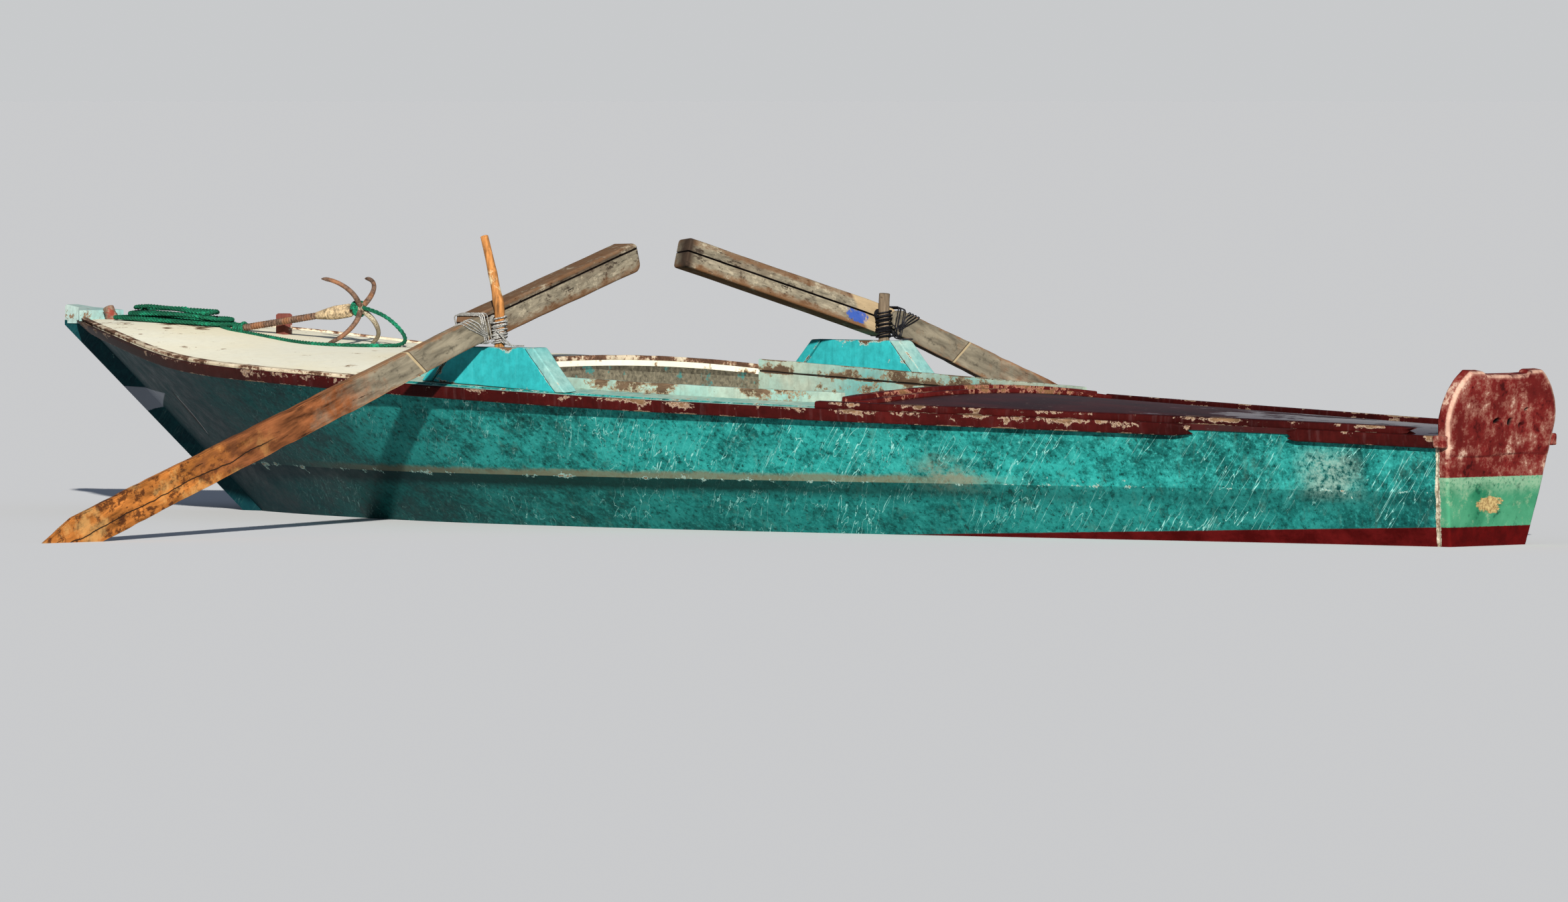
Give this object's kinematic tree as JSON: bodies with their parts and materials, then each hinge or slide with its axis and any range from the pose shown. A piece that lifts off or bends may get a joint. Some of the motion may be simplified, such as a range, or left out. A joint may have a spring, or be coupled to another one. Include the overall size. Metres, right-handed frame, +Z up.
{
  "type": "wooden rowing boat",
  "caption": "Decked plank rowing and fishing boat with raked stem, high transom, plank-bladed oars lashed to thole pins, and a grapnel on its foredeck.",
  "frame": {"origin": "on the waterline, amidships on the boat's middle line", "axes": "+Z up, -X toward the bow, -Y to port"},
  "size_m": [6.9926, 6.727, 1.3034],
  "materials": {
    "hull_paint": "worn teal paint on planks",
    "trim_paint": "worn dark red paint",
    "deck_paint": "chipped pale blue paint",
    "bare_wood": "weathered brown wood",
    "grey_wood": "weathered grey wood",
    "iron": "rusted",
    "rope": "twisted green rope",
    "cord": "pale string",
    "dark_cord": "black rope"
  },
  "bodies": {
    "boat": {"aft_bulkhead": "deck_paint", "aft_deck": "trim_paint", "anchor_flukes": "iron", "anchor_hub": "iron", "anchor_shank": "iron", "bow_peg": "bare_wood", "floor_timbers": "bare_wood", "floorboards": "bare_wood", "fore_bulkhead": "deck_paint", "foredeck": "deck_paint", "keel": "hull_paint", "port_coaming": "deck_paint", "port_fore_rail": "deck_paint", "port_garboard": "hull_paint", "port_lower_strake": "hull_paint", "port_lower_strake_aft": "hull_paint", "port_lower_strake_fore": "hull_paint", "port_riser": "bare_wood", "port_rub_strake": "trim_paint", "port_rub_strake_stub": "trim_paint", "port_side_deck": "deck_paint", "port_thole_block": "deck_paint", "port_thole_pin": "bare_wood", "port_toe_rail": "trim_paint", "port_topside": "hull_paint", "ribs": "bare_wood", "rope_hank": "rope", "rope_tail": "rope", "samson_post": "trim_paint", "starboard_coaming": "deck_paint", "starboard_fore_rail": "deck_paint", "starboard_garboard": "hull_paint", "starboard_lower_strake": "hull_paint", "starboard_lower_strake_aft": "hull_paint", "starboard_lower_strake_fore": "hull_paint", "starboard_riser": "bare_wood", "starboard_rub_strake": "trim_paint", "starboard_side_deck": "deck_paint", "starboard_thole_block": "deck_paint", "starboard_thole_pin": "bare_wood", "starboard_toe_rail": "trim_paint", "starboard_topside": "hull_paint", "stem": "hull_paint", "stem_head": "deck_paint", "thwart": "bare_wood", "transom": "trim_paint"},
    "port_swing": {"port_strop": "cord"},
    "port_oar": {"port_loom_upper": "grey_wood", "port_loom_lower": "grey_wood", "port_blade": "bare_wood", "port_oar_lashing": "cord"},
    "starboard_swing": {"starboard_strop": "dark_cord"},
    "starboard_oar": {"starboard_loom_upper": "grey_wood", "starboard_loom_lower": "grey_wood", "starboard_blade": "bare_wood", "starboard_oar_lashing": "cord"}
  },
  "joints": [
    {"name": "port_yaw", "type": "hinge", "parent": "boat", "child": "port_swing", "pos_m": [-0.325, -0.95, 0.735], "axis": [0, 0, 1], "range_deg": [-35, 35]},
    {"name": "port_pitch", "type": "hinge", "parent": "port_swing", "child": "port_oar", "pos_m": [-0.325, -0.95, 0.735], "axis": [1, 0, 0], "range_deg": [-18, 4]},
    {"name": "starboard_yaw", "type": "hinge", "parent": "boat", "child": "starboard_swing", "pos_m": [-0.23, 0.95, 0.735], "axis": [0, 0, -1], "range_deg": [-35, 35]},
    {"name": "starboard_pitch", "type": "hinge", "parent": "starboard_swing", "child": "starboard_oar", "pos_m": [-0.23, 0.95, 0.735], "axis": [-1, 0, 0], "range_deg": [-18, 4]}
  ]
}
